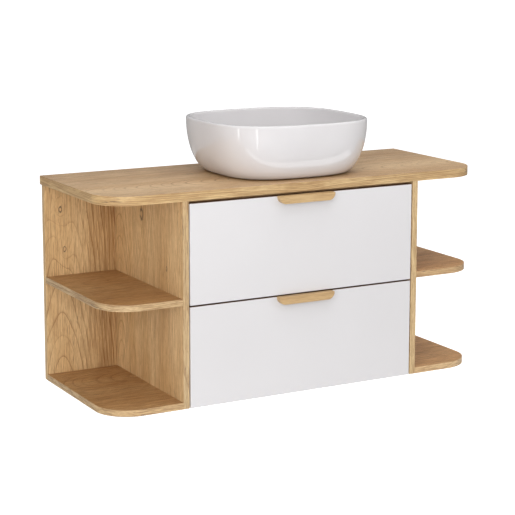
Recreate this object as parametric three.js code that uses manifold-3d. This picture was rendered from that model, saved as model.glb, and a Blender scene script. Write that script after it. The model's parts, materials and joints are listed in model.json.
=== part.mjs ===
// Wall-hung vanity with an oak worktop, a vessel basin, two drawers and four open corner bays.
// Millimetres, +Z up. The front of the vanity faces -Y and the wall is the plane y = 0.
// The origin is on the back face of the upper back rail, on the cabinet's centre line.
// Heights in this file count from the underside of the cabinet; the outer group lowers them.

import * as THREE from 'three';
import { mergeVertices } from 'three/addons/utils/BufferGeometryUtils.js';
import Module from 'manifold-3d';

const wasm = await Module();
wasm.setup();

// ---------------------------------------------------------------- driving dimensions

const GAP = 0.3;                  // clearance between pieces that touch

const WORKTOP_WIDTH = 1200;
const DEPTH = 460;                // wall to worktop front
const WORKTOP_THICK = 25;
const CARCASS_HEIGHT = 570;       // underside to the bottom of the worktop
const CORNER_RADIUS = 98;         // plan radius of the worktop and of the shelves

const BOARD = 18;
const CABINET_WIDTH = 754;        // over both cabinet sides
const CARCASS_WIDTH = 1189;       // over both open shelf units
const BOTTOM_THICK = 16;
const SHELF_TOP = 304.5;          // height of the middle shelf's upper face

const RAIL_HEIGHT = 90;           // upper and lower back rails
const RAIL_THICK = 16;
const FRONT_RAIL_DEPTH = 80;
const HANGER_NOTCH = [58, 64];    // width and height cut from the rail's upper corners
const HANGER = { width: 50, depth: 46, bottom: 515, top: 562, tongue: 13.5, sheet: 3, inset: 2 };
const WALL_PLATE = { bottom: 508, top: 567, thick: 2.5, play: 0.4 };
const PLATE_LIP = { bottom: 545, top: 556, front: -9, clear: 1 };

const FRONT_THICK = 18;
const FRONT_SIDE_GAP = 3.5;
const LOWER_FRONT = [0, 281];     // heights of the lower drawer front
const UPPER_FRONT = [284.5, 563];

const HANDLE = { width: 177, height: 22, depth: 17, corner: 20, topCorner: 1.5 };
const FINGER_POCKET = { width: 130, height: 14, depth: 9 };

const RUNNER = { gap: 13, length: 400, back: 40, sheet: 1.5, lap: 7.5, play: 0.5 };
const RUNNER_HEIGHTS = { cabinet: 45, middle: 38, drawer: 30 };
const BOX = { back: 42, side: 12.5, height: 150, bottom: 10, wall: 12 };
const LOWER_BOX_HEIGHT = 30;      // height of each drawer box's underside
const UPPER_BOX_HEIGHT = 305;
const FRONT_CLEARANCE = 2;        // behind the drawer fronts, before the cabinet's own boards
const RUNNER_ABOVE_BOX = 45;      // runner's lower edge over the box's underside
const CUTOUT = { halfWidth: 115, front: 305 };  // space for the trap in the upper drawer

const BASIN = { halfWidth: 240, halfDepth: 228, height: 155, x: 37, y: -232, lift: 3 };
const BASIN_WALL = 11;
const BASIN_FLOOR = 18;
const BASIN_STRAIGHT = 8;         // upright part of the wall, under the rim
const OUTER_BEND = { along: 66, up: 152 };  // quarter ellipses that the wall follows down to the foot
const INNER_BEND = { along: 60, up: 137, sweep: 0.98 };
const HOLLOW = { pull: 31, end: 70, rise: 3 };  // the curve from the inner wall to the floor
const BASIN_FACETS = { around: 48, perCurve: 4 };
const BASIN_CORNER_POWER = 3.0;   // superellipse power of the rim's outline
const ROUND_UP_TO = 40;           // radius at which the round middle starts turning into that outline
const FULL_OUTLINE_FROM = 140;
const BASIN_SEAL = { outer: 150, inner: 142 };
const DRAIN = { hole: 22, recess: 34, recessDepth: 3, worktopHole: 23 };

const WASTE = { tube: 20, bore: 17, flange: 33, flangeThick: 2.5, tail: -80, funnelWide: 6, funnelDeep: 3 };
const WASHER = { outer: 32, thick: 2.3 };
const BACKNUT_HEIGHT = 10;
const PLUG = { stem: 4, stemEnd: -25, head: 30, headThick: 2.4, bevelWide: 3, bevelHigh: 2, dome: 3 };
const PLUG_SEAL = { inner: 23.5, outer: 27, thick: 2 };
const PLUG_GUIDE = { thick: 6, bottom: -10, hole: 4.5, port: 3.6, portRing: 10.5 };
const NUT_CORNER = 30;            // half width over the corners of the hexagon nuts
const INLET_NUT = { bottom: -72, height: 14 };
const TRAP = { body: 30, wall: 2.5, dip: 20, neckWall: 4, tailPlay: 0.6, outletHeight: -155, socket: 19.5 };
const TRAP_LEVELS = { dipEnd: -222, bodyEnd: -192, tailRoom: -90 };
const TRAP_SHOULDER = { low: -101, high: -95, innerLow: -105, innerHigh: -100 };
const CUP = { radius: 33.5, top: -178, end: -262, dish: 2, side: 16, floor: 3.5, floorRise: 1.5 };
const STUB = { root: 28, end: 68, wall: 3 };  // the trap's side outlet, from its axis
const OUTLET_NUT = { rim: 4.5, length: 14, end: 66 };
const OUTLET_PIPE = { radius: 16, wall: 1.5, start: 45 };
const ROSETTE = { radius: 35, taper: 1, neck: 4, thick: 9 };

// ---------------------------------------------------------------- materials

function finish(color, roughness, metalness = 0) {
  return () => new THREE.MeshStandardMaterial({ color, roughness, metalness });
}
const oak = finish(0xc9a673, 0.6);
const whiteLacquer = finish(0xe6e4e5, 0.4);
const boxBoard = finish(0xd8d8d6, 0.6);
const ceramic = finish(0xf2f1f0, 0.1);
const chrome = finish(0xd5d7da, 0.12, 1);
const steel = finish(0xa9acb0, 0.35, 1);
const plastic = finish(0xf0f0ee, 0.5);
const rubber = finish(0x2a2a2a, 0.9);

// ---------------------------------------------------------------- helpers

const vanity = new THREE.Group();
vanity.position.z = RAIL_HEIGHT / 2 - CARCASS_HEIGHT;

function add(name, geometry, material) {
  const mesh = new THREE.Mesh(geometry, material());
  mesh.name = name;
  vanity.add(mesh);
  return mesh;
}

// A board between two corners: [x0, x1], [y0, y1], [z0, z1].
function board(name, x, y, z, material) {
  const geometry = new THREE.BoxGeometry(x[1] - x[0], y[1] - y[0], z[1] - z[0]);
  const mesh = add(name, geometry, material);
  mesh.position.set((x[0] + x[1]) / 2, (y[0] + y[1]) / 2, (z[0] + z[1]) / 2);
  return mesh;
}

function extrude(shape, depth, curveSegments = 20) {
  return new THREE.ExtrudeGeometry(shape, { depth, bevelEnabled: false, curveSegments });
}

function circle(radius, x = 0, y = 0) {
  const path = new THREE.Shape();
  path.absarc(x, y, radius, 0, 2 * Math.PI);
  return path;
}

// Extrudes a (y, z) outline along +X and starts it at x.
function alongX(outline, x, length) {
  const shape = new THREE.Shape(outline.map(([y, z]) => new THREE.Vector2(y, z)));
  const geometry = extrude(shape, length);
  geometry.rotateX(Math.PI / 2);
  geometry.rotateZ(Math.PI / 2);
  return geometry.translate(x, 0, 0);
}

// Turns a closed (radius, height) outline about Z.
function turned(outline, segments = 24) {
  const points = outline.map(([r, z]) => new THREE.Vector2(r, z));
  if (points[0].x > 0) {
    points.push(points[0].clone());
  }
  const geometry = new THREE.LatheGeometry(points, segments);
  return geometry.rotateX(Math.PI / 2);
}

function tube(outer, inner, z0, z1, segments = 24) {
  return turned([[inner, z0], [outer, z0], [outer, z1], [inner, z1]], segments);
}

function solid(geometry) {
  const bare = new THREE.BufferGeometry();
  bare.setAttribute('position', geometry.getAttribute('position').clone());
  bare.setIndex(geometry.getIndex());
  const merged = mergeVertices(bare, 1e-4);
  return new wasm.Manifold(new wasm.Mesh({
    numProp: 3,
    vertProperties: new Float32Array(merged.getAttribute('position').array),
    triVerts: new Uint32Array(merged.getIndex().array),
  }));
}

function geometryOf(manifold) {
  const mesh = manifold.getMesh();
  const geometry = new THREE.BufferGeometry();
  geometry.setAttribute('position', new THREE.BufferAttribute(mesh.vertProperties, 3));
  geometry.setIndex(new THREE.BufferAttribute(mesh.triVerts, 1));
  return geometry;
}

const SIDES = [['left', -1], ['right', 1]];
const span = (sign, near, far) => (sign < 0 ? [-far, -near] : [near, far]);

// ---------------------------------------------------------------- worktop

const cabinetHalf = CABINET_WIDTH / 2;
const cabinetInner = cabinetHalf - BOARD;
const carcassHalf = CARCASS_WIDTH / 2;
const underWorktop = CARCASS_HEIGHT - GAP;
const worktopTop = CARCASS_HEIGHT + WORKTOP_THICK;

function makeWorktop() {
  const half = WORKTOP_WIDTH / 2;
  const r = CORNER_RADIUS;
  const plan = new THREE.Shape();
  plan.moveTo(half, 0);
  plan.lineTo(-half, 0);
  plan.lineTo(-half, -DEPTH + r);
  plan.absarc(-half + r, -DEPTH + r, r, Math.PI, 1.5 * Math.PI);
  plan.lineTo(half - r, -DEPTH);
  plan.absarc(half - r, -DEPTH + r, r, 1.5 * Math.PI, 2 * Math.PI);
  plan.holes.push(circle(DRAIN.worktopHole, BASIN.x, BASIN.y));
  add('worktop', extrude(plan, WORKTOP_THICK).translate(0, 0, CARCASS_HEIGHT), oak);
}

// ---------------------------------------------------------------- cabinet

function makeCabinet() {
  for (const [side, sign] of SIDES) {
    board(`cabinet_side_${side}`, span(sign, cabinetInner, cabinetHalf), [-DEPTH, 0], [0, underWorktop], oak);
  }
  const between = [-cabinetInner + GAP, cabinetInner - GAP];
  const behindFront = -DEPTH + FRONT_THICK + FRONT_CLEARANCE;
  board('cabinet_bottom', between, [behindFront, 0], [0, BOTTOM_THICK], oak);
  board('front_rail', between, [behindFront, behindFront + FRONT_RAIL_DEPTH],
    [underWorktop - BOARD, underWorktop], oak);
  board('back_rail_lower', between, [-RAIL_THICK, 0],
    [BOTTOM_THICK + GAP, BOTTOM_THICK + GAP + RAIL_HEIGHT], oak);
  makeUpperRail(between[1]);
}

// The rail that carries the vanity, with its upper corners cut away for the hangers.
function makeUpperRail(half) {
  const [notchWidth, notchHeight] = HANGER_NOTCH;
  const bottom = CARCASS_HEIGHT - RAIL_HEIGHT;
  const outline = new THREE.Shape();
  outline.moveTo(-half, bottom);
  outline.lineTo(half, bottom);
  outline.lineTo(half, underWorktop - notchHeight);
  outline.lineTo(half - notchWidth, underWorktop - notchHeight);
  outline.lineTo(half - notchWidth, underWorktop);
  outline.lineTo(notchWidth - half, underWorktop);
  outline.lineTo(notchWidth - half, underWorktop - notchHeight);
  outline.lineTo(-half, underWorktop - notchHeight);
  const geometry = extrude(outline, RAIL_THICK).rotateX(Math.PI / 2);
  add('back_rail_upper', geometry, oak);
}

// A hanger is fixed inside each cabinet side; its tongue drops behind the lip of a plate on the wall.
function makeHangers() {
  const { width, depth, bottom, top, tongue, sheet, inset } = HANGER;
  const plate = WALL_PLATE;
  const lip = PLATE_LIP;
  const lipBack = lip.front + plate.thick;
  const plateFront = -GAP - plate.thick;
  const tongueBack = plateFront - plate.play;
  const step = lip.bottom + plate.thick;
  const web = lip.front - lip.clear;
  for (const [side, sign] of SIDES) {
    const x = sign < 0 ? -cabinetInner + inset : cabinetInner - inset - width;
    add(`hanger_${side}`, alongX([
      [tongueBack, top - tongue], [tongueBack, top], [-depth, top], [-depth, bottom],
      [web, bottom], [web, top - sheet], [tongueBack - sheet, top - sheet],
      [tongueBack - sheet, top - tongue],
    ], x, width), steel);
    add(`wall_plate_${side}`, alongX([
      [-GAP, plate.bottom], [-GAP, plate.top], [plateFront, plate.top], [plateFront, step],
      [lipBack, step], [lipBack, lip.top], [lip.front, lip.top], [lip.front, lip.bottom],
      [plateFront, lip.bottom], [plateFront, plate.bottom],
    ], x, width), steel);
  }
}

// ---------------------------------------------------------------- open shelf units

// A shelf in a corner bay: square at the wall, rounded at its free front corner.
function cornerShelf(name, sign, z0) {
  const near = cabinetHalf + GAP;
  const r = CORNER_RADIUS;
  const back = -BOARD - GAP;
  const plan = new THREE.Shape();
  plan.moveTo(near, back);
  plan.lineTo(near, -DEPTH);
  plan.lineTo(carcassHalf - r, -DEPTH);
  plan.absarc(carcassHalf - r, -DEPTH + r, r, 1.5 * Math.PI, 2 * Math.PI);
  plan.lineTo(carcassHalf, back);
  const mesh = add(name, extrude(plan, BOARD), oak);
  mesh.position.z = z0;
  if (sign < 0) {
    mesh.geometry.rotateY(Math.PI).translate(0, 0, BOARD);
  }
}

function makeShelfUnits() {
  for (const [side, sign] of SIDES) {
    board(`shelf_back_${side}`, span(sign, cabinetHalf + GAP, carcassHalf), [-BOARD, 0],
      [0, underWorktop], oak);
    cornerShelf(`shelf_middle_${side}`, sign, SHELF_TOP - BOARD);
    cornerShelf(`shelf_bottom_${side}`, sign, 0);
  }
}

// ---------------------------------------------------------------- drawers

// A block pull on the top edge of a front, with a pocket milled up into it for the fingers.
function makeHandle(name, top) {
  const { width, height, depth, corner, topCorner } = HANDLE;
  const half = width / 2;
  const outline = new THREE.Shape();
  outline.moveTo(half - topCorner, top);
  outline.lineTo(-half + topCorner, top);
  outline.absarc(-half + topCorner, top - topCorner, topCorner, Math.PI / 2, Math.PI);
  outline.absarc(-half + corner, top - height + corner, corner, Math.PI, 1.5 * Math.PI);
  outline.absarc(half - corner, top - height + corner, corner, 1.5 * Math.PI, 2 * Math.PI);
  outline.absarc(half - topCorner, top - topCorner, topCorner, 0, Math.PI / 2);
  const block = extrude(outline, depth, 10).rotateX(Math.PI / 2).translate(0, -DEPTH - GAP, 0);
  const { width: pocketWidth, height: pocketHeight, depth: pocketDepth } = FINGER_POCKET;
  const pocket = new THREE.BoxGeometry(pocketWidth, 2 * pocketDepth, 2 * pocketHeight);
  pocket.translate(0, -DEPTH - GAP, top - height);
  add(name, geometryOf(solid(block).subtract(solid(pocket))), oak);
}

function makeFront(level, [bottom, top]) {
  const half = cabinetInner - FRONT_SIDE_GAP;
  board(`${level}_drawer_front`, [-half, half], [-DEPTH, -DEPTH + FRONT_THICK], [bottom, top], whiteLacquer);
  makeHandle(`${level}_drawer_handle`, top);
}

const boxHalf = cabinetInner - RUNNER.gap;
const boxInner = boxHalf - BOX.side;
const boxFront = -DEPTH + FRONT_THICK + GAP;

function makeBoxSides(level, z0) {
  for (const [side, sign] of SIDES) {
    board(`${level}_drawer_side_${side}`, span(sign, boxInner, boxHalf), [boxFront, -BOX.back],
      [z0, z0 + BOX.height], boxBoard);
  }
}

function makeLowerDrawer() {
  const z0 = LOWER_BOX_HEIGHT;
  const across = [-boxInner + GAP, boxInner - GAP];
  makeFront('lower', LOWER_FRONT);
  makeBoxSides('lower', z0);
  board('lower_drawer_bottom', across, [boxFront, -BOX.back], [z0, z0 + BOX.bottom], boxBoard);
  board('lower_drawer_back', across, [-BOX.back - BOX.wall, -BOX.back],
    [z0 + BOX.bottom + GAP, z0 + BOX.height], boxBoard);
}

// The upper box is cut out from behind, so that it slides past the trap.
function makeUpperDrawer() {
  const z0 = UPPER_BOX_HEIGHT;
  const walls = [z0 + BOX.bottom + GAP, z0 + BOX.height];
  const half = boxInner - GAP;
  const cut = CUTOUT.halfWidth;
  makeFront('upper', UPPER_FRONT);
  makeBoxSides('upper', z0);
  const plan = new THREE.Shape();
  plan.moveTo(-half, boxFront);
  plan.lineTo(half, boxFront);
  plan.lineTo(half, -BOX.back);
  plan.lineTo(cut, -BOX.back);
  plan.lineTo(cut, -CUTOUT.front);
  plan.lineTo(-cut, -CUTOUT.front);
  plan.lineTo(-cut, -BOX.back);
  plan.lineTo(-half, -BOX.back);
  add('upper_drawer_bottom', extrude(plan, BOX.bottom).translate(0, 0, z0), boxBoard);
  board('upper_drawer_inner_front', [-cut - BOX.wall, cut + BOX.wall],
    [-CUTOUT.front - BOX.wall, -CUTOUT.front], walls, boxBoard);
  for (const [side, sign] of SIDES) {
    board(`upper_drawer_cheek_${side}`, span(sign, cut, cut + BOX.wall), [-CUTOUT.front + GAP, -BOX.back],
      walls, boxBoard);
    board(`upper_drawer_back_${side}`, span(sign, cut + BOX.wall + GAP, half),
      [-BOX.back - BOX.wall, -BOX.back], walls, boxBoard);
  }
}

// ---------------------------------------------------------------- runners

// A channel of sheet steel, open towards its mouth: web at x0, mouth at x1.
function channel(name, sign, x0, x1, z, height) {
  const { sheet, length, back } = RUNNER;
  const web = x1 < x0 ? x0 - sheet : x0 + sheet;
  const low = z - height / 2;
  const high = z + height / 2;
  const shape = new THREE.Shape();
  shape.moveTo(x0, low);
  shape.lineTo(x1, low);
  shape.lineTo(x1, low + sheet);
  shape.lineTo(web, low + sheet);
  shape.lineTo(web, high - sheet);
  shape.lineTo(x1, high - sheet);
  shape.lineTo(x1, high);
  shape.lineTo(x0, high);
  const geometry = extrude(shape, length).rotateX(Math.PI / 2);
  if (sign < 0) {
    geometry.rotateZ(Math.PI).translate(0, -length, 0);
  }
  add(name, geometry.translate(0, -back, 0), steel);
}

// Each runner has three members: on the cabinet, on the drawer, and one between that travels half as far.
function makeRunners(level, boxHeight) {
  const { cabinet, middle, drawer } = RUNNER_HEIGHTS;
  const { lap, sheet, play } = RUNNER;
  const z = boxHeight + RUNNER_ABOVE_BOX + cabinet / 2;
  const wall = cabinetInner - GAP;
  for (const [side, sign] of SIDES) {
    channel(`${level}_runner_cabinet_${side}`, sign, wall, wall - lap, z, cabinet);
    channel(`${level}_runner_middle_${side}`, sign, wall - sheet - play, wall - lap, z, middle);
    channel(`${level}_runner_drawer_${side}`, sign, boxHalf + GAP, wall - lap - play, z, drawer);
  }
}

// ---------------------------------------------------------------- basin

// Widens a turned shape into the basin's outline: round at the drain, a soft rectangle at the rim.
function softRectangle(geometry) {
  const position = geometry.getAttribute('position');
  const widen = BASIN.halfWidth - BASIN.halfDepth;
  for (let i = 0; i < position.count; i++) {
    const x = position.getX(i);
    const y = position.getY(i);
    const r = Math.hypot(x, y);
    const blend = THREE.MathUtils.clamp((r - ROUND_UP_TO) / (FULL_OUTLINE_FROM - ROUND_UP_TO), 0, 1);
    const power = 2 / THREE.MathUtils.lerp(2, BASIN_CORNER_POWER, blend);
    const along = (value) => Math.sign(value) * Math.abs(value / r) ** power;
    position.setXY(i, (r + widen * blend) * along(x), r * along(y));
  }
  return geometry;
}

function placeAtDrain(mesh, height = worktopTop) {
  mesh.position.set(BASIN.x, BASIN.y, height);
  return mesh;
}

function makeBasin() {
  const { halfDepth, height, lift } = BASIN;
  const lip = BASIN_WALL / 2;
  const bendTop = height - BASIN_STRAIGHT;
  const baseAngle = Math.asin(bendTop / OUTER_BEND.up);
  const innerWall = halfDepth - BASIN_WALL;
  const profile = new THREE.Path();
  profile.moveTo(DRAIN.hole, 0);
  profile.lineTo(DRAIN.recess, 0);
  profile.absellipse(halfDepth - OUTER_BEND.along, bendTop, OUTER_BEND.along, OUTER_BEND.up,
    -baseAngle, 0, false);
  profile.absarc(halfDepth - lip, height - lip, lip, 0, Math.PI, false);
  profile.absellipse(innerWall - INNER_BEND.along, bendTop, INNER_BEND.along, INNER_BEND.up,
    0, -INNER_BEND.sweep, true);
  profile.quadraticCurveTo(innerWall - HOLLOW.pull, BASIN_FLOOR + HOLLOW.rise,
    innerWall - HOLLOW.end, BASIN_FLOOR + HOLLOW.rise);
  profile.lineTo(DRAIN.recess, BASIN_FLOOR);
  profile.lineTo(DRAIN.recess, BASIN_FLOOR - DRAIN.recessDepth);
  profile.lineTo(DRAIN.hole, BASIN_FLOOR - DRAIN.recessDepth);
  profile.lineTo(DRAIN.hole, 0);
  const bowl = new THREE.LatheGeometry(profile.getPoints(BASIN_FACETS.perCurve), BASIN_FACETS.around)
    .rotateX(Math.PI / 2);
  placeAtDrain(add('basin', softRectangle(bowl), ceramic), worktopTop + lift);
  const seal = tube(BASIN_SEAL.outer, BASIN_SEAL.inner, GAP, lift - GAP, BASIN_FACETS.around);
  placeAtDrain(add('basin_seal', softRectangle(seal), rubber));
}

// ---------------------------------------------------------------- waste and trap

// Heights here count from the worktop's upper face.
function makeWaste() {
  const { tube: outer, bore, flange, flangeThick, tail, funnelWide, funnelDeep } = WASTE;
  const seat = BASIN.lift + BASIN_FLOOR - DRAIN.recessDepth + GAP;
  const flangeTop = seat + flangeThick;
  placeAtDrain(add('waste_body', turned([
    [outer, tail], [outer, seat], [flange, seat], [flange, flangeTop], [bore + funnelWide, flangeTop],
    [bore, seat - funnelDeep], [bore, tail],
  ]), chrome));
  makePlug(flangeTop + GAP);
  makePlugGuide(bore - GAP);
  const under = -WORKTOP_THICK;
  const washerBottom = under - GAP - WASHER.thick;
  const backnutBottom = washerBottom - GAP - BACKNUT_HEIGHT;
  placeAtDrain(add('waste_washer', tube(WASHER.outer, outer + GAP, washerBottom, under - GAP), rubber));
  placeAtDrain(add('waste_backnut', hexNut(outer + GAP, backnutBottom, BACKNUT_HEIGHT), plastic));
}

// The plug lies shut on its seal; pulled up, it slides in the guide inside the waste.
function makePlug(sealBottom) {
  const { stem, stemEnd, head, headThick, bevelWide, bevelHigh, dome } = PLUG;
  const sealTop = sealBottom + PLUG_SEAL.thick;
  const under = sealTop + GAP;
  const edge = under + headThick;
  placeAtDrain(add('plug_seal', tube(PLUG_SEAL.outer, PLUG_SEAL.inner, sealBottom, sealTop), rubber));
  placeAtDrain(add('waste_plug', turned([
    [0, stemEnd], [stem, stemEnd], [stem, under], [head, under], [head, edge],
    [head - bevelWide, edge + bevelHigh], [0, edge + dome],
  ]), chrome));
}

// A disc across the waste with a hole for the plug's stem and four ports for the water.
function makePlugGuide(radius) {
  const { thick, bottom, hole, port, portRing } = PLUG_GUIDE;
  const disc = circle(radius);
  disc.holes.push(circle(hole));
  for (const quarter of [0, 1, 2, 3]) {
    const angle = quarter * Math.PI / 2;
    disc.holes.push(circle(port, portRing * Math.cos(angle), portRing * Math.sin(angle)));
  }
  placeAtDrain(add('plug_guide', extrude(disc, thick, 6).translate(0, 0, bottom), chrome));
}

function hexNut(bore, z0, height) {
  const outline = new THREE.Shape();
  outline.moveTo(NUT_CORNER, 0);
  for (const corner of [1, 2, 3, 4, 5]) {
    const angle = corner * Math.PI / 3;
    outline.lineTo(NUT_CORNER * Math.cos(angle), NUT_CORNER * Math.sin(angle));
  }
  outline.holes.push(circle(bore));
  return extrude(outline, height, 10).translate(0, 0, z0);
}

// A cylinder about Z between two heights.
function rod(radius, z0, z1) {
  const geometry = new THREE.CylinderGeometry(radius, radius, z1 - z0, 24).rotateX(Math.PI / 2);
  return geometry.translate(0, 0, (z0 + z1) / 2);
}

// Lays a shape turned about Z along -Y, so that its foot stands at y at the outlet's height.
function towardsRoom(geometry, y) {
  return geometry.rotateX(Math.PI / 2).translate(0, y, TRAP.outletHeight);
}

// A bottle trap: the tail of the waste enters its dip tube, and the cup screws on from below.
function makeTrap() {
  const { body, wall, dip, neckWall, tailPlay, socket } = TRAP;
  const { dipEnd, bodyEnd, tailRoom } = TRAP_LEVELS;
  const { low, high, innerLow, innerHigh } = TRAP_SHOULDER;
  const { tube: tail } = WASTE;
  placeAtDrain(add('trap_inlet_nut', hexNut(tail + GAP, INLET_NUT.bottom, INLET_NUT.height), chrome));
  const neckTop = INLET_NUT.bottom - GAP;
  const neckRadius = dip + neckWall;
  const tailHole = tail + tailPlay;
  const neck = solid(turned([
    [dip - wall, dipEnd], [dip, dipEnd], [dip, innerHigh], [body - wall, innerLow],
    [body - wall, bodyEnd], [body, bodyEnd], [body, low], [neckRadius, high],
    [neckRadius, neckTop], [tailHole, neckTop], [tailHole, tailRoom], [dip - wall, tailRoom],
  ]));
  const aroundDip = solid(rod(dip + 3, dipEnd, neckTop));
  const { root, end, wall: stubWall } = STUB;
  const stub = solid(towardsRoom(rod(socket, 0, end - root), end)).subtract(aroundDip);
  const stubBore = solid(towardsRoom(rod(socket - stubWall, 0, end), end + 1)).subtract(aroundDip);
  placeAtDrain(add('trap_body', geometryOf(neck.add(stub).subtract(stubBore)), chrome));
  makeTrapCup();
  makeOutlet();
}

function makeTrapCup() {
  const { body, dip } = TRAP;
  const { radius, top, end, dish, side, floor, floorRise } = CUP;
  const inside = body + GAP;
  placeAtDrain(add('trap_cup', turned([
    [0, end], [dip, end + dish], [radius, end + side], [radius, top], [inside, top],
    [inside, end + side + dish], [dip - dish, end + floor + floorRise], [0, end + floor],
  ]), chrome));
}

function makeOutlet() {
  const { socket } = TRAP;
  const toWall = -BASIN.y;
  const { rim, length, end } = OUTLET_NUT;
  const nut = tube(socket + rim, socket + GAP, 0, length);
  placeAtDrain(add('trap_outlet_nut', towardsRoom(nut, end), chrome));
  const { radius: outlet, wall, start } = OUTLET_PIPE;
  const pipe = tube(outlet, outlet - wall, 0, toWall - start);
  placeAtDrain(add('outlet_pipe', towardsRoom(pipe, toWall), chrome));
  const { radius, taper, neck, thick } = ROSETTE;
  const rosette = turned([
    [outlet + GAP, 0], [radius, 0], [radius - taper, thick / 3], [outlet + neck, thick],
    [outlet + GAP, thick],
  ]);
  placeAtDrain(add('wall_rosette', towardsRoom(rosette, toWall - GAP), chrome));
}

// ---------------------------------------------------------------- assembly

makeWorktop();
makeCabinet();
makeHangers();
makeShelfUnits();
makeUpperDrawer();
makeLowerDrawer();
makeRunners('upper', UPPER_BOX_HEIGHT);
makeRunners('lower', LOWER_BOX_HEIGHT);
makeBasin();
makeWaste();
makeTrap();

const part = new THREE.Group();
part.add(vanity);

export default part;
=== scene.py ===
"""Looks of a wall-hung vanity: oak worktop and open shelves, white drawers and a vessel basin.

Metres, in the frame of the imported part: +Z up, the wall at y = 0, the front facing -Y.
"""

import itertools
import json
import math
from collections import namedtuple

import bmesh
import bpy
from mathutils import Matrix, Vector


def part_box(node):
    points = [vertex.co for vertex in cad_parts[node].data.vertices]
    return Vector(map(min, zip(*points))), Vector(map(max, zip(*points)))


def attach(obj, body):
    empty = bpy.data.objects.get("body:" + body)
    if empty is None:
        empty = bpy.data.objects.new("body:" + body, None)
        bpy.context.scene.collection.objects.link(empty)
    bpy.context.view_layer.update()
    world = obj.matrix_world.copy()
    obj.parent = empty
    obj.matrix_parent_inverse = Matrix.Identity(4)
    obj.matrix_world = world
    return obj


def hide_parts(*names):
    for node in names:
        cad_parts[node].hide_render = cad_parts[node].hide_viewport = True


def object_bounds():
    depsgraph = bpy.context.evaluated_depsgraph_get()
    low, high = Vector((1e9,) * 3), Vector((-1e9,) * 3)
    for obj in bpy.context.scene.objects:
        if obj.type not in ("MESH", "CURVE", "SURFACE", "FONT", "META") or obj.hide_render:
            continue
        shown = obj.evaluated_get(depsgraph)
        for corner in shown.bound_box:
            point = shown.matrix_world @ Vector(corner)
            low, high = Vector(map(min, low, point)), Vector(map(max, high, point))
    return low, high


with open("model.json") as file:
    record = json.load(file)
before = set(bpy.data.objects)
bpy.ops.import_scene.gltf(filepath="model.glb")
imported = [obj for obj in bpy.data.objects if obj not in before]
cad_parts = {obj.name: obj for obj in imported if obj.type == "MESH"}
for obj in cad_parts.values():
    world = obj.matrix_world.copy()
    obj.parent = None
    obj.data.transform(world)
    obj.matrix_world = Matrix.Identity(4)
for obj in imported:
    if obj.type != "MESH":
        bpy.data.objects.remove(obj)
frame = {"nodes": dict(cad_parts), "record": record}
cad_low, cad_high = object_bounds()

BODY_OF_NODE = {"waste_plug": "plug", "plug_seal": "plug"}
ROOT = "vanity"  # the body of all other pieces made here

worktop_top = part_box("worktop")[1].z
basin_low, basin_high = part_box("basin")
drain = (basin_low + basin_high) / 2  # the basin's middle, which the drain's axis passes through


# ---------------------------------------------------------------- material graphs


class Graph:
    """A material's nodes, written as expressions.

    place is the position in the part's frame, and facing the direction that the surface faces there.
    """

    def __init__(self, name):
        self.material = bpy.data.materials.new(name)
        self.material.use_nodes = True
        self.tree = self.material.node_tree
        self.shader = self.tree.nodes["Principled BSDF"]
        coordinates = self.tree.nodes.new("ShaderNodeTexCoord")
        self.place = coordinates.outputs["Object"]
        self.facing = coordinates.outputs["Normal"]

    def node(self, kind, inputs, **settings):
        made = self.tree.nodes.new("ShaderNode" + kind)
        for key, value in settings.items():
            setattr(made, key, value)
        for socket, value in inputs.items():
            self.feed(made.inputs[socket], value)
        return made

    def feed(self, socket, value):
        if isinstance(value, bpy.types.NodeSocket):
            self.tree.links.new(value, socket)
        else:
            socket.default_value = value

    def math(self, operation, a, b=0.0):
        return self.node("Math", {0: a, 1: b}, operation=operation).outputs[0]

    def add(self, a, b):
        return self.math("ADD", a, b)

    def times(self, a, b):
        return self.math("MULTIPLY", a, b)

    def vector(self, x, y, z):
        return self.node("CombineXYZ", {0: x, 1: y, 2: z}).outputs[0]

    def scaled(self, vector, factors):
        return self.node("VectorMath", {0: vector, 1: factors}, operation="MULTIPLY").outputs[0]

    def moved(self, vector, step):
        return self.node("VectorMath", {0: vector, 1: step}, operation="ADD").outputs[0]

    def blend(self, factor, a, b):
        """A vector between a and b."""
        made = self.tree.nodes.new("ShaderNodeMix")
        made.data_type = "VECTOR"
        for socket, value in ((0, factor), (4, a), (5, b)):
            self.feed(made.inputs[socket], value)
        return made.outputs[1]

    def parts(self, vector):
        return list(self.node("SeparateXYZ", {0: vector}).outputs)

    def noise(self, vector, scale=1.0, detail=2.0, roughness=0.5, distortion=0.0):
        inputs = {
            "Vector": vector,
            "Scale": scale,
            "Detail": detail,
            "Roughness": roughness,
            "Distortion": distortion,
        }
        return self.node("TexNoise", inputs).outputs[0]

    def spread(self, value, low, high, to_low=0.0, to_high=1.0):
        """Turns low to high into to_low to to_high, smoothly, and holds it beyond them."""
        inputs = {0: value, 1: low, 2: high, 3: to_low, 4: to_high}
        return self.node("MapRange", inputs, interpolation_type="SMOOTHSTEP").outputs[0]

    def mix(self, factor, a, b, blend="MIX"):
        """A colour between a and b."""
        made = self.tree.nodes.new("ShaderNodeMix")
        made.data_type = "RGBA"
        made.blend_type = blend
        for socket, value in ((0, factor), (6, a), (7, b)):
            if isinstance(value, tuple):
                value = (*value, 1.0)
            self.feed(made.inputs[socket], value)
        return made.outputs[2]

    def surface(self, color, roughness, height=None, depth=0.0, **constants):
        """Feeds the shader. height is a bump pattern, depth its size in metres, and constants are
        other sockets of the shader, such as coat_weight."""
        self.feed(self.shader.inputs["Base Color"], color)
        self.feed(self.shader.inputs["Roughness"], roughness)
        for name, value in constants.items():
            self.shader.inputs[name.replace("_", " ").title()].default_value = value
        if height is not None:
            bump = self.node("Bump", {"Strength": 1.0, "Distance": depth, "Height": height})
            self.feed(self.shader.inputs["Normal"], bump.outputs[0])
        return self.material


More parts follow.
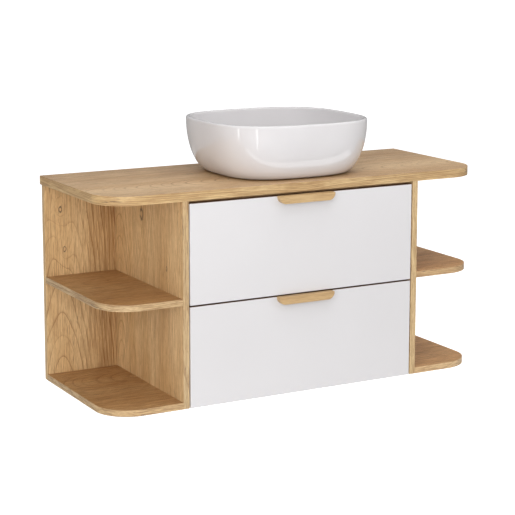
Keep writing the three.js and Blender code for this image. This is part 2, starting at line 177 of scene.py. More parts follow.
# ---------------------------------------------------------------- oak

OAK_LIGHT = (0.730, 0.530, 0.295)
OAK_DEEP = (0.630, 0.420, 0.210)
OAK_HEART = (0.460, 0.270, 0.115)
OAK_LINE = (0.235, 0.112, 0.040)
OAK_CRACK = (0.070, 0.046, 0.034)

# Fine figure: its noise's frequencies along and across the grain per metre, detail and roughness, the
# values between which it fades in, and how dark it gets where that doesn't vary.
Figure = namedtuple("Figure", "along across detail roughness low high dark", defaults=(None,))
BAND = Figure(2.4, 240.0, 1.0, 0.50, 0.50, 0.64, 0.16)
STREAK = Figure(14.0, 330.0, 2.0, 0.65, 0.46, 0.64, 0.42)
FIBRE = Figure(26.0, 640.0, 2.0, 0.70, 0.45, 0.68, 0.30)
PORE = Figure(55.0, 800.0, 1.0, 0.50, 0.56, 0.68, 0.40)
SPLIT = Figure(20.0, 230.0, 2.0, 0.50, 0.635, 0.69)
CLOUD = Figure(1.4, 11.0, 3.0, 0.50, 0.34, 0.66)
SPLIT_DISTORTION = 0.4

SWAY = 0.030                        # how far all rings wander sideways, end to end, in metres
RIPPLE = 0.0024                     # the same for their quick ripple
WAVER = 0.014                       # and for the depth at which they are cut
SHARP_LINE = (0.0013, 0.0042)       # a ring's line fades out between these distances from its start
SOFT_LINE = (0.0090, 0.45)          # the length and strength of its faint tail
LEAST_STEEP = 0.16                  # rings cut flatter than this get wider lines
LINE_PATCHES = (0.32, 0.56, 0.45)   # noise values between which lines gain strength, and the weakest
RING_STRENGTH = (0.7, 0.45)         # a ring's random value from which its line is full, and the weakest
HEART_TINT = 0.60                   # how far a board's dark side turns to the heart's colour
HEART_BAND = (0.50, 0.60, 0.60)     # its bands: the noise values they fade in between, how dark
CRACKED = (0.50, 0.66)              # noise values between which cracks appear

KNOT_STRETCH = 0.50                 # distance along the grain counts half, so knots are longer that way
KNOT_LUMPS = 110.0                  # the frequency of a knot's uneven outline, per metre
KNOT_WOBBLE = 0.9                   # how uneven it is. This and the next two are times its radius
KNOT_REACH = 5.0                    # how far out rings bend round it
KNOT_RIM = (0.75, 0.40)             # its dark rim's place and half width
KNOT_DARK = 0.85
KNOT_PUSH = 1.7                     # how many rings it pushes aside

FRONT_EDGE = (-0.4597, -0.4592)     # y between which a cabinet side's front edge, with its own painted light, gives way to its face
BANDING_LEVEL = 0.33                # moves the edge banding's figure away from the pith
BANDING_DEPTH = 0.05
EDGE_TILT = 0.6                     # a flat board's face is an edge where its normal's upward part is under this
OAK_ROUGHNESS = (0.3, 0.8, 0.40, 0.56)  # the fibre noise's range and the roughness that it gives
OAK_RELIEF = 0.00012
LINE_DENT, PORE_DENT, CRACK_DENT = -0.4, -0.6, -1.0

# How a board lies: grain along X with its face up, upright and facing sideways, upright and facing
# the room, or along X on a drawer's pull.
FLAT, SIDEWAYS, FACING, PULL = "flat", "sideways", "facing", "pull"


def grain_axes(g, lie):
    """The position as (along the grain, across the face, into the board), and the banded edges' mask."""
    x, y, z = g.parts(g.place)
    if lie == SIDEWAYS:
        return g.vector(z, y, x), g.spread(y, *FRONT_EDGE, 1.0, 0.0)
    if lie == FACING:
        return g.vector(z, x, y), None
    if lie == PULL:
        return g.vector(x, z, y), None
    face = g.vector(x, y, z)
    banding = g.vector(g.add(g.math("ABSOLUTE", x), y), g.add(z, BANDING_LEVEL), BANDING_DEPTH)
    rise = g.parts(g.facing)[2]
    on_edge = g.math("LESS_THAN", g.math("ABSOLUTE", rise), EDGE_TILT)
    return g.blend(on_edge, face, banding), on_edge


def figure_noise(g, seeded, figure, distortion=0.0):
    """The noise of a fine figure, long along the grain."""
    stretched = g.scaled(seeded, (figure.along, figure.across, figure.across))
    return g.noise(stretched, detail=figure.detail, roughness=figure.roughness, distortion=distortion)


def wander(g, seeded, frequency, reach, detail=2.0):
    """A slow noise about zero, reach metres from end to end."""
    return g.times(g.add(g.noise(g.scaled(seeded, frequency), detail=detail), -0.5), reach)


def knot_fields(g, grain, knots):
    """How far the knots push the rings aside, and their dark rims."""
    u, v, _ = g.parts(grain)
    swell = rims = 0.0
    for along_at, across_at, size in knots:
        du = g.times(g.add(u, -along_at), KNOT_STRETCH)
        dv = g.add(v, -across_at)
        wobble = g.times(g.add(g.noise(grain, scale=KNOT_LUMPS), -0.5), size * KNOT_WOBBLE)
        far = g.add(g.math("SQRT", g.add(g.times(du, du), g.times(dv, dv))), wobble)
        near = g.math("EXPONENT", g.times(g.times(far, far), -1.0 / (size * KNOT_REACH) ** 2))
        rim_at, rim_width = KNOT_RIM
        rim = g.math("ABSOLUTE", g.add(far, -size * rim_at))
        rim = g.spread(rim, 0.0, size * rim_width, 1.0, 0.0)
        swell = g.add(swell, near)
        rims = g.math("MAXIMUM", rims, rim)
    return swell, rims


def year_rings(g, grain, seeded, sway, pith, pitch, tighten, swell):
    """Dark late wood along the year rings of a log sawn beside its pith, thin however it is cut."""
    u, v, w = g.parts(grain)
    centre, depth, slope = pith
    ripple = wander(g, seeded, (9.0, 50.0, 50.0), RIPPLE)
    waver = wander(g, seeded, (5.0, 3.0, 3.0), WAVER, detail=1.0)
    side = g.add(g.add(v, -centre), g.add(sway, ripple))
    under = g.add(g.add(g.times(u, slope), depth), g.add(w, waver))
    radius = g.math("SQRT", g.add(g.times(side, side), g.times(under, under)))
    beyond = g.math("MAXIMUM", g.add(radius, -depth), 0.0)
    squeezed = g.add(radius, g.times(g.times(beyond, beyond), tighten))
    phase = g.times(g.add(squeezed, g.times(swell, pitch * KNOT_PUSH)), 1.0 / pitch)

    climb = g.times(under, slope)
    steep = g.math("DIVIDE", g.math("SQRT", g.add(g.times(side, side), g.times(climb, climb))), radius)
    steep = g.times(g.math("MAXIMUM", steep, LEAST_STEEP), g.add(g.times(beyond, 2.0 * tighten), 1.0))
    past_line = g.times(g.math("DIVIDE", g.math("FRACT", phase), steep), pitch)
    ring = g.add(g.math("FLOOR", phase), 0.5)
    own = g.node("TexWhiteNoise", {"W": ring}, noise_dimensions="1D").outputs[0]
    sharp = g.spread(past_line, *SHARP_LINE, 1.0, 0.0)
    soft = g.spread(past_line, 0.0, *SOFT_LINE, 0.0)
    patchy = g.spread(g.noise(g.scaled(seeded, (11.0, 60.0, 60.0))), *LINE_PATCHES, 1.0)
    line = g.times(g.math("MAXIMUM", sharp, soft), patchy)
    return g.times(line, g.spread(own, 0.0, *RING_STRENGTH, 1.0))


def oak(name, lie, pith, pitch=0.0085, tighten=3.2, knots=(), seed=0.0, lines=0.80, grainy=1.0,
        cracks=0.6, dark_side=None, face_tone_and_painted_light=(1.0, 1.0, 1.0), edge_tone_and_painted_light=(1.0, 1.0, 1.0)):
    """Oak decor sawn beside a pith.

    pith is (place across the face, depth under it, how fast the depth grows along the grain): arches
    where it is shallow, straight lines where it is deep. Rings stand pitch apart over the pith and
    closer away from it, the more so the more they tighten. knots are (along, across, radius). lines,
    grainy and cracks say how strong the rings, the fine figure and the cracks are. dark_side is (place
    across the face, width) where the heart's darker wood begins. The last two arguments multiply the
    colour of the faces and of the banded edges: the board's own colour together with painted light and
    shading, lighter or darker as light falls on that board and on its edges.
    """
    g = Graph(name)
    grain, on_edge = grain_axes(g, lie)
    across = g.parts(grain)[1]
    seeded = g.moved(grain, (seed, 0.37 * seed, 0.0))
    sway = wander(g, seeded, (2.4, 7.0, 7.0), SWAY, detail=1.0)
    swell, knot_rims = knot_fields(g, grain, knots)
    late = year_rings(g, grain, seeded, sway, pith, pitch, tighten, swell)

    band, streak, fibre = (figure_noise(g, seeded, figure) for figure in (BAND, STREAK, FIBRE))
    pores = g.spread(figure_noise(g, seeded, PORE), PORE.low, PORE.high)
    cloud = figure_noise(g, seeded, CLOUD)

    color = g.mix(g.spread(cloud, CLOUD.low, CLOUD.high), OAK_LIGHT, OAK_DEEP)
    strength = lines
    if dark_side is not None:
        start, width = dark_side
        heart = g.spread(g.add(across, sway), start, start + width)
        color = g.mix(g.times(heart, HEART_TINT), color, OAK_HEART)
        strength = g.spread(heart, 0.0, 1.0, lines, 1.0)
        low, high, dark = HEART_BAND
        color = g.mix(g.times(g.spread(band, low, high), g.times(heart, dark)), color, OAK_LINE)
    for noise, figure in ((band, BAND), (streak, STREAK), (fibre, FIBRE)):
        darkened = g.spread(noise, figure.low, figure.high, 0.0, figure.dark * grainy)
        color = g.mix(darkened, color, OAK_LINE)
    color = g.mix(g.times(pores, PORE.dark * grainy), color, OAK_LINE)
    color = g.mix(g.times(late, strength), color, OAK_LINE)
    split = g.spread(figure_noise(g, seeded, SPLIT, SPLIT_DISTORTION), SPLIT.low, SPLIT.high)
    few = g.spread(g.noise(g.scaled(seeded, (4.0, 14.0, 14.0)), detail=1.0), *CRACKED)
    crack = g.times(g.times(split, few), cracks)
    color = g.mix(crack, color, OAK_CRACK)
    if knots:
        color = g.mix(g.times(knot_rims, KNOT_DARK), color, OAK_CRACK)
    # painted light and shading: faces and banded edges are made lighter or darker as light falls on them,
    # together with the board's own colour
    painted_light_and_tone = g.mix(on_edge, face_tone_and_painted_light, edge_tone_and_painted_light) if on_edge else face_tone_and_painted_light
    color = g.mix(1.0, color, painted_light_and_tone, blend="MULTIPLY")
    roughness = g.spread(fibre, *OAK_ROUGHNESS)
    dents = g.add(g.times(pores, PORE_DENT), g.times(crack, CRACK_DENT))
    height = g.add(g.times(late, LINE_DENT), dents)
    return g.surface(color, roughness, height, OAK_RELIEF)


# ---------------------------------------------------------------- other materials

USUAL = (0.3, 0.7)  # most of a noise's values lie between these

GAP_SHADOW_REACH = 0.0011  # how far the painted shadow of the gaps reaches down from the fronts' top edges, just past the bevel
GAP_SHADOW_COLOR = (0.105, 0.052, 0.024)
GAP_SHADOW_ROUGHNESS = 0.65


def white_lacquer():
    """Satin white. The fronts' top edges and bevels are painted dark brown, a painted shadow of the gaps between
    the fronts.
    """
    g = Graph("white_lacquer")
    cloud = g.noise(g.place, scale=3.0)
    peel = g.noise(g.place, scale=420.0)
    color = g.mix(g.spread(cloud, *USUAL), (0.640, 0.625, 0.632), (0.650, 0.636, 0.643))
    height = g.parts(g.place)[2]
    gap_shadow_bands = []
    for node in ("upper_drawer_front", "lower_drawer_front"):
        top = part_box(node)[1].z
        gap_shadow_bands.append(g.math("LESS_THAN", g.math("ABSOLUTE", g.add(height, -top)), GAP_SHADOW_REACH))
    # painted shadow: a band at each front's top edge is painted dark brown to stand for the shadow in the gaps
    # between the fronts
    painted_gap_shadow = g.math("MAXIMUM", *gap_shadow_bands)
    color = g.mix(painted_gap_shadow, color, GAP_SHADOW_COLOR)
    roughness = g.math("MAXIMUM", g.spread(cloud, *USUAL, 0.30, 0.36), g.times(painted_gap_shadow, GAP_SHADOW_ROUGHNESS))
    return g.surface(color, roughness, peel, 0.000012)


def glazed_ceramic():
    """White glaze, a little wavy, with a clear coat."""
    g = Graph("glazed_ceramic")
    cloud = g.noise(g.place, scale=9.0)
    color = g.mix(g.spread(cloud, *USUAL), (0.640, 0.620, 0.626), (0.652, 0.634, 0.640))
    roughness = g.spread(cloud, *USUAL, 0.045, 0.085)
    return g.surface(color, roughness, cloud, 0.0002, coat_weight=0.4, coat_roughness=0.03)


def chrome():
    g = Graph("chrome")
    smear = g.noise(g.place, scale=40.0, detail=3.0)
    color = g.mix(g.spread(smear, *USUAL), (0.76, 0.77, 0.79), (0.82, 0.83, 0.84))
    return g.surface(color, g.spread(smear, 0.3, 0.75, 0.05, 0.14), metallic=1.0)


def zinc_steel():
    g = Graph("zinc_steel")
    drawn = g.noise(g.scaled(g.place, (300.0, 8.0, 900.0)), detail=3.0)
    color = g.mix(g.spread(drawn, *USUAL), (0.50, 0.51, 0.53), (0.62, 0.63, 0.65))
    return g.surface(color, g.spread(drawn, *USUAL, 0.28, 0.42), drawn, 0.00003, metallic=1.0)


def box_board():
    g = Graph("box_board")
    weave = g.noise(g.scaled(g.place, (900.0, 700.0, 700.0)))
    cloud = g.noise(g.place, scale=6.0)
    color = g.mix(g.spread(weave, *USUAL), (0.60, 0.60, 0.595), (0.66, 0.66, 0.655))
    return g.surface(color, g.spread(cloud, *USUAL, 0.45, 0.55), weave, 0.00004)


def white_plastic():
    g = Graph("white_plastic")
    grain = g.noise(g.place, scale=700.0)
    color = g.mix(g.spread(grain, *USUAL), (0.76, 0.76, 0.74), (0.80, 0.80, 0.78))
    return g.surface(color, 0.45, grain, 0.00003)


def black_rubber():
    g = Graph("black_rubber")
    grain = g.noise(g.place, scale=900.0)
    color = g.mix(g.spread(grain, *USUAL), (0.018, 0.017, 0.016), (0.030, 0.028, 0.027))
    return g.surface(color, 0.75, grain, 0.00005)


MATERIALS = {
    "white_lacquer": white_lacquer(),
    "glazed_ceramic": glazed_ceramic(),
    "chrome": chrome(),
    "zinc_steel": zinc_steel(),
    "box_board": box_board(),
    "white_plastic": white_plastic(),
    "black_rubber": black_rubber(),
}
SLOT_OF_NODE = {s["node"]: s["material_slot"] for s in frame["record"]["subparts"]}


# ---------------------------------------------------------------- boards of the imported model


WELD = 1e-5
BEVEL_ANGLE = 30.0  # edges that turn by more degrees than this are rounded
BOARD_EDGE = 0.0008
METAL_EDGE = 0.0006
SHEET_EDGE = 0.0003


def dress(node, material, edge=BOARD_EDGE, segments=3):
    """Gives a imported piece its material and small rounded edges."""
    piece = frame["nodes"][node]
    for slot in piece.material_slots:
        slot.material = material
    weld = piece.modifiers.new("weld", "WELD")
    weld.merge_threshold = WELD
    bevel = piece.modifiers.new("edges", "BEVEL")
    bevel.width = edge
    bevel.segments = segments
    bevel.limit_method = "ANGLE"
    bevel.angle_limit = math.radians(BEVEL_ANGLE)
    normals = piece.modifiers.new("normals", "WEIGHTED_NORMAL")
    normals.keep_sharp = False


def dress_boards():
    # painted light and shading: the multipliers below brighten the left bay's back and side, darken the shelf
    # tops inside the bays and make edges lighter or darker, along with each board's own colour
    dress("worktop", oak("oak_worktop", FLAT, (-0.335, 0.10, -0.13), seed=3.1, lines=0.75, grainy=0.8,
                         face_tone_and_painted_light=(1.00, 0.97, 0.98), edge_tone_and_painted_light=(1.10, 1.14, 1.09),
                         knots=[(-0.214, -0.175, 0.005)]), edge=0.0015)
    dress("cabinet_side_left", oak("oak_side_left", SIDEWAYS, (-0.055, 0.47, 0.14), seed=7.4, lines=0.55,
                                   knots=[(-0.028, -0.200, 0.010), (-0.155, -0.360, 0.004)],
                                   face_tone_and_painted_light=(1.14, 1.10, 1.02), edge_tone_and_painted_light=(0.86, 0.88, 0.89)))
    dress("cabinet_side_right", oak("oak_side_right", SIDEWAYS, (-0.31, 0.24, 0.16), seed=11.9,
                                    edge_tone_and_painted_light=(1.02, 1.07, 1.07)))
    dress("shelf_back_left", oak("oak_back_left", FACING, (-0.548, 0.145, 0.125), pitch=0.0098, seed=0.9,
                                 knots=[(-0.029, -0.5466, 0.0052), (-0.1455, -0.535, 0.0048)],
                                 lines=0.68, dark_side=(-0.49, 0.10), face_tone_and_painted_light=(1.04, 1.02, 0.97)))
    dress("shelf_back_right", oak("oak_back_right", FACING, (0.47, 0.13, 0.12), seed=5.3,
                                  face_tone_and_painted_light=(1.05, 1.02, 0.97)))
    # painted light and shading for each bay's shelves: darker, redder tops on the left, lighter ones on the
    # right
    painted_light_by_side = {
        "left": {"face_tone_and_painted_light": (0.82, 0.69, 0.555), "edge_tone_and_painted_light": (0.95, 0.97, 0.97)},
        "right": {"face_tone_and_painted_light": (1.18, 1.00, 0.79), "edge_tone_and_painted_light": (1.06, 1.09, 1.12)},
    }
    for index, (tier, side) in enumerate(itertools.product(("middle", "bottom"), ("left", "right"))):
        dress(f"shelf_{tier}_{side}", oak(f"oak_shelf_{tier}_{side}", FLAT, (-0.15, 0.09, 0.07),
                                          seed=1.7 * index + 2.0, lines=0.6, grainy=1.35,
                                          **painted_light_by_side[side]))
    for index, level in enumerate(("upper", "lower")):
        dress(f"{level}_drawer_handle", oak(f"oak_handle_{level}", PULL, (0.30, 0.08, 0.08), lines=0.25,
                                            grainy=0.5, cracks=0.2, seed=4.4 + index,
                                            face_tone_and_painted_light=(0.82, 0.785, 0.71)), edge=0.0012)
        dress(f"{level}_drawer_front", MATERIALS["white_lacquer"], edge=0.001)
    hidden = oak("oak_carcass", FLAT, (-0.2, 0.08, 0.08), seed=8.8)
    for node in ("cabinet_bottom", "front_rail", "back_rail_lower", "back_rail_upper"):
        dress(node, hidden)


def dress_hidden_nodes():
    """The drawer boxes, runners, hangers and wall plates get their slot's material."""
    edges = {"box_board": BOARD_EDGE, "zinc_steel": SHEET_EDGE}
    for node, slot in SLOT_OF_NODE.items():
        if slot in edges:
            dress(node, MATERIALS[slot], edge=edges[slot])


def dress_nuts_and_guide():
    """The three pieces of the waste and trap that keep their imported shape."""
    for node in ("trap_inlet_nut", "plug_guide"):
        dress(node, MATERIALS["chrome"], edge=METAL_EDGE)
    dress("waste_backnut", MATERIALS["white_plastic"], edge=METAL_EDGE)


# ---------------------------------------------------------------- finer meshes


def finer(node, bm, smooth_angle=35.0):
    """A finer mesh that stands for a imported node, on the same body and with the same slot."""
    bmesh.ops.recalc_face_normals(bm, faces=bm.faces)
    mesh = bpy.data.meshes.new(node + "_fine")
    bm.to_mesh(mesh)
    bm.free()
    mesh.shade_smooth()
    mesh.set_sharp_from_angle(angle=math.radians(smooth_angle))
    piece = bpy.data.objects.new(node + "_fine", mesh)
    bpy.context.scene.collection.objects.link(piece)
    slot = SLOT_OF_NODE[node]
    mesh.materials.append(MATERIALS[slot])
    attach(piece, BODY_OF_NODE.get(node, ROOT))
    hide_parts(node)


def softened(points, radius, steps=4, closed=True):
    """The profile with each corner replaced by a short curve that starts that far from it."""
    count = len(points)
    soft = []
    for i, here in enumerate(points):
        if not closed and i in (0, count - 1):
            soft.append(here)
            continue
        here = Vector(here)
        before, after = Vector(points[i - 1]), Vector(points[(i + 1) % count])
        reach = min(radius, 0.45 * (before - here).length, 0.45 * (after - here).length)
        start = here + (before - here).normalized() * reach
        end = here + (after - here).normalized() * reach
        for k in range(steps + 1):
            t = k / steps
            soft.append(tuple(start * (1 - t) ** 2 + here * 2 * t * (1 - t) + end * t ** 2))
    return soft


ON_AXIS = 1e-7  # a smaller radius is a point on the axis


def lathe(profile, segments=72, outline=None):
    """Turns a profile of (radius, height) about Z. An open profile starts and ends on the axis.

    outline, when given, takes a radius and a direction to a point of an outline that isn't a circle.
    """
    bm = bmesh.new()
    rings = []
    for radius, height in profile:
        if radius < ON_AXIS:
            rings.append([bm.verts.new((0, 0, height))])
            continue
        ring = []
        for k in range(segments):
            angle = 2 * math.pi * k / segments
            x, y = math.cos(angle), math.sin(angle)
            if outline:
                x, y = outline(radius, x, y)
            else:
                x, y = radius * x, radius * y
            ring.append(bm.verts.new((x, y, height)))
        rings.append(ring)
    closed = profile[0][0] > ON_AXIS
    pairs = list(zip(rings, rings[1:]))
    if closed:
        pairs.append((rings[-1], rings[0]))
    for a, b in pairs:
        for k in range(segments):
            n = (k + 1) % segments
            if len(a) == 1:
                bm.faces.new((a[0], b[n], b[k]))
            elif len(b) == 1:
                bm.faces.new((a[k], a[n], b[0]))
            else:
                bm.faces.new((a[k], a[n], b[n], b[k]))
    return bm


def at_drain(bm, height=worktop_top):
    """Moves a shape turned about Z to the drain's axis. Its zero height lands on the worktop's top."""
    bmesh.ops.translate(bm, vec=(drain.x, drain.y, height), verts=bm.verts)
    return bm


# ---------------------------------------------------------------- basin

HALF_WIDTH = (basin_high.x - basin_low.x) / 2
HALF_DEPTH = (basin_high.y - basin_low.y) / 2
BASIN_HEIGHT = basin_high.z - basin_low.z
RIM = 0.011
FLOOR_THICK = 0.018          # at the drain
STRAIGHT = 0.008             # how far under the rim's top the wall starts to bend in
OUTER_BEND = (0.066, 0.152)  # the wall's ellipse outside, across and up
INNER_BEND = (0.060, 0.137)  # and inside
INNER_SWEEP = 0.98           # how much of the inner ellipse there is, in radians
CORNER_POWER = 3.0           # the rim's squareness: 2 is a circle
ROUND_WITHIN, SQUARE_BEYOND = 0.040, 0.140  # radii between which circle turns to soft rectangle
DRAIN_HOLE = 0.022
DRAIN_RECESS = 0.034
FLOOR_RISE = (0.0006, 0.0017, 0.0030)  # the floor's height over the drain's edge, going outwards
SEAT_DROP = 0.003            # how deep the recess round the drain hole is


def soft_rectangle(radius, x, y):
    """A point of the basin's outline: a circle at the drain, a soft rectangle at the rim."""
    blend = min(max((radius - ROUND_WITHIN) / (SQUARE_BEYOND - ROUND_WITHIN), 0.0), 1.0)
    power = 2.0 / (2.0 + (CORNER_POWER - 2.0) * blend)
    widen = (HALF_WIDTH - HALF_DEPTH) * blend
    along = math.copysign(abs(x) ** power, x)
    across = math.copysign(abs(y) ** power, y)
    return (radius + widen) * along, radius * across


def arc(centre, radii, start, end, steps):
    """Points of an ellipse between two angles."""
    turn = [start + (end - start) * k / steps for k in range(steps + 1)]
    return [(centre[0] + radii[0] * math.cos(a), centre[1] + radii[1] * math.sin(a)) for a in turn]


def curve(start, pull, end, steps):
    """A quadratic curve from start to end, without its first point."""
    points = []
    for k in range(1, steps + 1):
        t = k / steps
        points.append(tuple((1 - t) ** 2 * a + 2 * t * (1 - t) * b + t * t * c
                            for a, b, c in zip(start, pull, end)))
    return points


def make_basin():
    """The bowl: foot, outer wall, rounded rim, inner wall, floor and the recess round the drain."""
    bend_top = BASIN_HEIGHT - STRAIGHT
    base_angle = math.asin(bend_top / OUTER_BEND[1])
    lip = RIM / 2
    inner = HALF_DEPTH - RIM
    outside = arc((HALF_DEPTH - OUTER_BEND[0], bend_top), OUTER_BEND, -base_angle, 0.0, 26)
    foot = outside[0][0]
    profile = [(DRAIN_HOLE, 0.0), (0.060, 0.0), (0.110, 0.0), (foot - 0.004, 0.0)]
    profile += curve(profile[-1], (foot, 0.0), outside[1], 3)[:-1] + outside[1:]
    profile += arc((HALF_DEPTH - lip, BASIN_HEIGHT - lip), (lip, lip), 0.0, math.pi, 12)
    profile += arc((inner - INNER_BEND[0], bend_top), INNER_BEND, 0.0, -INNER_SWEEP, 16)
    near, middle, far = (FLOOR_THICK + rise for rise in FLOOR_RISE)
    seat = FLOOR_THICK - SEAT_DROP
    step = DRAIN_RECESS - 0.001
    profile += curve(profile[-1], (inner - 0.031, far), (inner - 0.070, far), 12)
    profile += [(0.080, middle), (0.050, near), (DRAIN_RECESS, FLOOR_THICK),
                (step, FLOOR_THICK - 0.001), (step, seat), (DRAIN_HOLE, seat)]
    finer("basin", at_drain(lathe(profile, 192, soft_rectangle), basin_low.z), smooth_angle=50.0)


# ---------------------------------------------------------------- waste and trap


FLANGE_UNDER = 0.0183   # the flange's underside, over the worktop's top
OUTLET_HEIGHT = -0.155  # the outlet's axis, over the worktop's top


def make_waste():
    """The waste, plug and seals round the drain's axis. Heights are over the worktop's top."""
    seat = FLANGE_UNDER
    body = [(0.017, -0.080), (0.020, -0.080), (0.020, seat), (0.0325, seat), (0.0325, seat + 0.0025),
            (0.023, seat + 0.0025), (0.017, seat - 0.003)]
    finer("waste_body", at_drain(lathe(softened(body, 0.0008))))
    seal = [(0.0235, seat + 0.0028), (0.027, seat + 0.0028), (0.027, seat + 0.0048),
            (0.0235, seat + 0.0048)]
    finer("plug_seal", at_drain(lathe(softened(seal, 0.0008))))
    plug = [(0.0, -0.025), (0.004, -0.025), (0.004, seat + 0.0051), (0.030, seat + 0.0051),
            (0.030, seat + 0.0075), (0.026, seat + 0.0095), (0.014, seat + 0.0103), (0.0, seat + 0.0105)]
    finer("waste_plug", at_drain(lathe(softened(plug, 0.0012, closed=False))))
    bed = [(0.142, 0.0003), (0.150, 0.0003), (0.150, 0.0027), (0.142, 0.0027)]
    finer("basin_seal", at_drain(lathe(softened(bed, 0.0005), 160, soft_rectangle)))
    washer = [(0.0203, -0.0276), (0.032, -0.0276), (0.032, -0.0253), (0.0203, -0.0253)]
    finer("waste_washer", at_drain(lathe(softened(washer, 0.0005))))


def make_trap():
    """The bottle trap, with heights over the worktop's top, and the outlet to the wall, with lengths
    from the drain's axis."""
    shell = [(0.0175, -0.222), (0.020, -0.222), (0.020, -0.100), (0.0275, -0.105), (0.0275, -0.192),
             (0.030, -0.192), (0.030, -0.101), (0.024, -0.095), (0.024, -0.0723), (0.0206, -0.0723),
             (0.0206, -0.090), (0.0175, -0.090)]
    body = at_drain(lathe(softened(shell, 0.002)))
    stub = [(0.0165, 0.0295), (0.0195, 0.0295), (0.0195, 0.068), (0.0165, 0.068)]
    merge(body, turn_to_wall(lathe(softened(stub, 0.0008))))
    finer("trap_body", body)
    cup = [(0.0, -0.262), (0.020, -0.260), (0.0335, -0.246), (0.0335, -0.178), (0.0303, -0.178),
           (0.0303, -0.244), (0.018, -0.257), (0.0, -0.2585)]
    finer("trap_cup", at_drain(lathe(softened(cup, 0.004, closed=False))))
    wall = -drain.y
    outlet = [(0.0145, 0.045), (0.016, 0.045), (0.016, wall), (0.0145, wall)]
    finer("outlet_pipe", turn_to_wall(lathe(softened(outlet, 0.0004))))
    nut = [(0.0198, 0.052), (0.024, 0.052), (0.024, 0.066), (0.0198, 0.066)]
    finer("trap_outlet_nut", turn_to_wall(lathe(softened(nut, 0.001))))
    plate = [(0.0163, wall - 0.0093), (0.020, wall - 0.0093), (0.034, wall - 0.0033),
             (0.035, wall - 0.0003), (0.0163, wall - 0.0003)]
    finer("wall_rosette", turn_to_wall(lathe(softened(plate, 0.003))))


def turn_to_wall(bm):
    """Lays a shape turned about Z along +Y, from the drain's axis to the wall at the outlet's height."""
    for vert in bm.verts:
        x, y, z = vert.co
        vert.co = (x + drain.x, z + drain.y, y + worktop_top + OUTLET_HEIGHT)
    return bm


def merge(bm, other):
    """Adds the other mesh to bm and frees it."""
    mesh = bpy.data.meshes.new("joined")
    other.to_mesh(mesh)
    other.free()
    bm.from_mesh(mesh)
    bpy.data.meshes.remove(mesh)


# ---------------------------------------------------------------- stage, light and camera


FLOOR_BELOW = 0.255        # how far the floor lies under the vanity
FLOOR_HALF = 30.0
FLOOR_GLOW = (0.12, 0.90)  # what the floor throws on the object, and what the camera sees of it
SKY_RISE = (-0.1, 0.9)     # the upward parts of a direction between which the sky brightens
SKY_GLOW = (0.22, 0.62)
CARD_LIFT = 0.01           # how far the floor's card lies over the floor

LENS = 112.9
SHIFT = (0.03, -0.15)
EYE = (-2.2515, -4.2464, 1.2848)   # its height is over the underside
PITCH_DOWN, TURN = 8.846, -28.476  # in degrees
FAR_CLIP = 200.0


def make_floor():
    """A floor that looks white, but throws less light on the object than white paint would."""
    g = Graph("floor")
    cloud = g.noise(g.place, scale=0.6)
    color = g.mix(g.spread(cloud, *USUAL), (0.48, 0.48, 0.48), (0.52, 0.52, 0.52))
    g.surface(color, 0.9)
    g.shader.inputs["Emission Color"].default_value = (1.0, 1.0, 1.0, 1.0)
    seen = g.node("LightPath", {}).outputs["Is Camera Ray"]
    g.feed(g.shader.inputs["Emission Strength"], g.spread(seen, 0.0, 1.0, *FLOOR_GLOW))
    mesh = bpy.data.meshes.new("floor")
    level = cad_low.z - FLOOR_BELOW
    corners = [(x * FLOOR_HALF, y * FLOOR_HALF, level) for x, y in ((-1, -1), (1, -1), (1, 1), (-1, 1))]
    mesh.from_pydata(corners, [], [(0, 1, 2, 3)])
    mesh.materials.append(g.material)
    floor = bpy.data.objects.new("floor", mesh)
    bpy.context.scene.collection.objects.link(floor)


def soft_light(name, place, target, size, power, shows_in_gloss=False):
    """An area light that the camera doesn't see."""
    light = bpy.data.lights.new(name, "AREA")
    light.shape = "RECTANGLE"
    light.size, light.size_y = size
    light.energy = power
    lamp = bpy.data.objects.new(name, light)
    lamp.location = place
    lamp.rotation_euler = (Vector(target) - Vector(place)).to_track_quat("-Z", "Y").to_euler()
    lamp.visible_camera = False
    lamp.visible_glossy = shows_in_gloss
    bpy.context.scene.collection.objects.link(lamp)
    return lamp


def gloss_card(name, place, target, size, glow):
    """A card that shows only as a reflection, glow times as bright as a background of strength 1."""
    width, height = size
    card = soft_light(name, place, target, size, math.pi * width * height * glow, shows_in_gloss=True)
    card.visible_diffuse = False


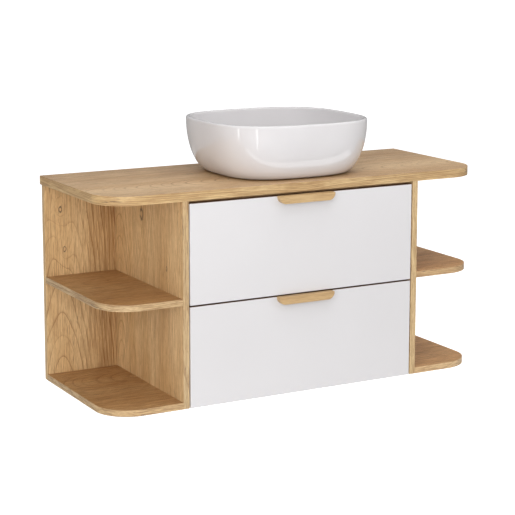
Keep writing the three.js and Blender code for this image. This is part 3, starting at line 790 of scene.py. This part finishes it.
def make_world():
    """A white dome, brighter overhead than at the horizon."""
    world = bpy.data.worlds.new("studio")
    world.use_nodes = True
    nodes, links = world.node_tree.nodes, world.node_tree.links
    sky = nodes["Background"]
    direction = nodes.new("ShaderNodeTexCoord").outputs["Generated"]
    split = nodes.new("ShaderNodeSeparateXYZ")
    rise = nodes.new("ShaderNodeMapRange")
    links.new(direction, split.inputs[0])
    links.new(split.outputs[2], rise.inputs[0])
    for socket, value in enumerate((*SKY_RISE, *SKY_GLOW), start=1):
        rise.inputs[socket].default_value = value
    links.new(rise.outputs[0], sky.inputs["Strength"])
    sky.inputs["Color"].default_value = (1.0, 1.0, 1.0, 1.0)
    bpy.context.scene.world = world


def make_light():
    """A soft key light from the front left, weaker ones around it, and cards for the gloss."""
    make_world()
    soft_light("key", (-2.4, -3.3, 0.30), (0, -0.2, -0.25), (3.0, 2.2), 87.0)
    soft_light("top", (0.2, -0.9, 1.7), (0.1, -0.2, 0.1), (1.6, 1.0), 12.0)
    soft_light("high_left", (-1.4, -1.7, 1.4), (0.05, -0.2, 0.1), (1.8, 1.2), 13.0)
    soft_light("fill", (2.6, -2.6, 0.5), (0, -0.2, -0.2), (1.6, 2.0), 25.0)
    soft_light("back", (0.8, 3.2, 0.45), (0, 0, -0.15), (2.4, 1.8), 30.0)
    basin_wall = (drain.x, drain.y, drain.z)
    gloss_card("strip_front", (-0.86, -1.38, -0.20), basin_wall, (0.06, 0.62), 4.5)
    gloss_card("strip_side", (-1.37, -0.53, -0.05), basin_wall, (0.09, 0.50), 3.5)
    card_level = cad_low.z - FLOOR_BELOW + CARD_LIFT
    gloss_card("floor_card", (0.1, -0.88, card_level), (0.1, -0.88, 0.0), (3.6, 0.80), 1.3)
    bpy.context.scene.view_settings.view_transform = "Standard"


def make_camera():
    """The eye stands to the front left and above, looking down a little."""
    data = bpy.data.cameras.new("camera")
    data.lens = LENS
    data.shift_x, data.shift_y = SHIFT
    data.clip_end = FAR_CLIP
    camera = bpy.data.objects.new("camera", data)
    x, y, over_underside = EYE
    camera.location = (x, y, over_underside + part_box("shelf_bottom_left")[0].z)
    camera.rotation_euler = (math.radians(90.0 - PITCH_DOWN), 0.0, math.radians(TURN))
    bpy.context.scene.collection.objects.link(camera)
    bpy.context.scene.camera = camera


# ---------------------------------------------------------------- build

make_camera()
make_floor()
make_light()
dress_boards()
dress_hidden_nodes()
dress_nuts_and_guide()
make_basin()
make_waste()
make_trap()
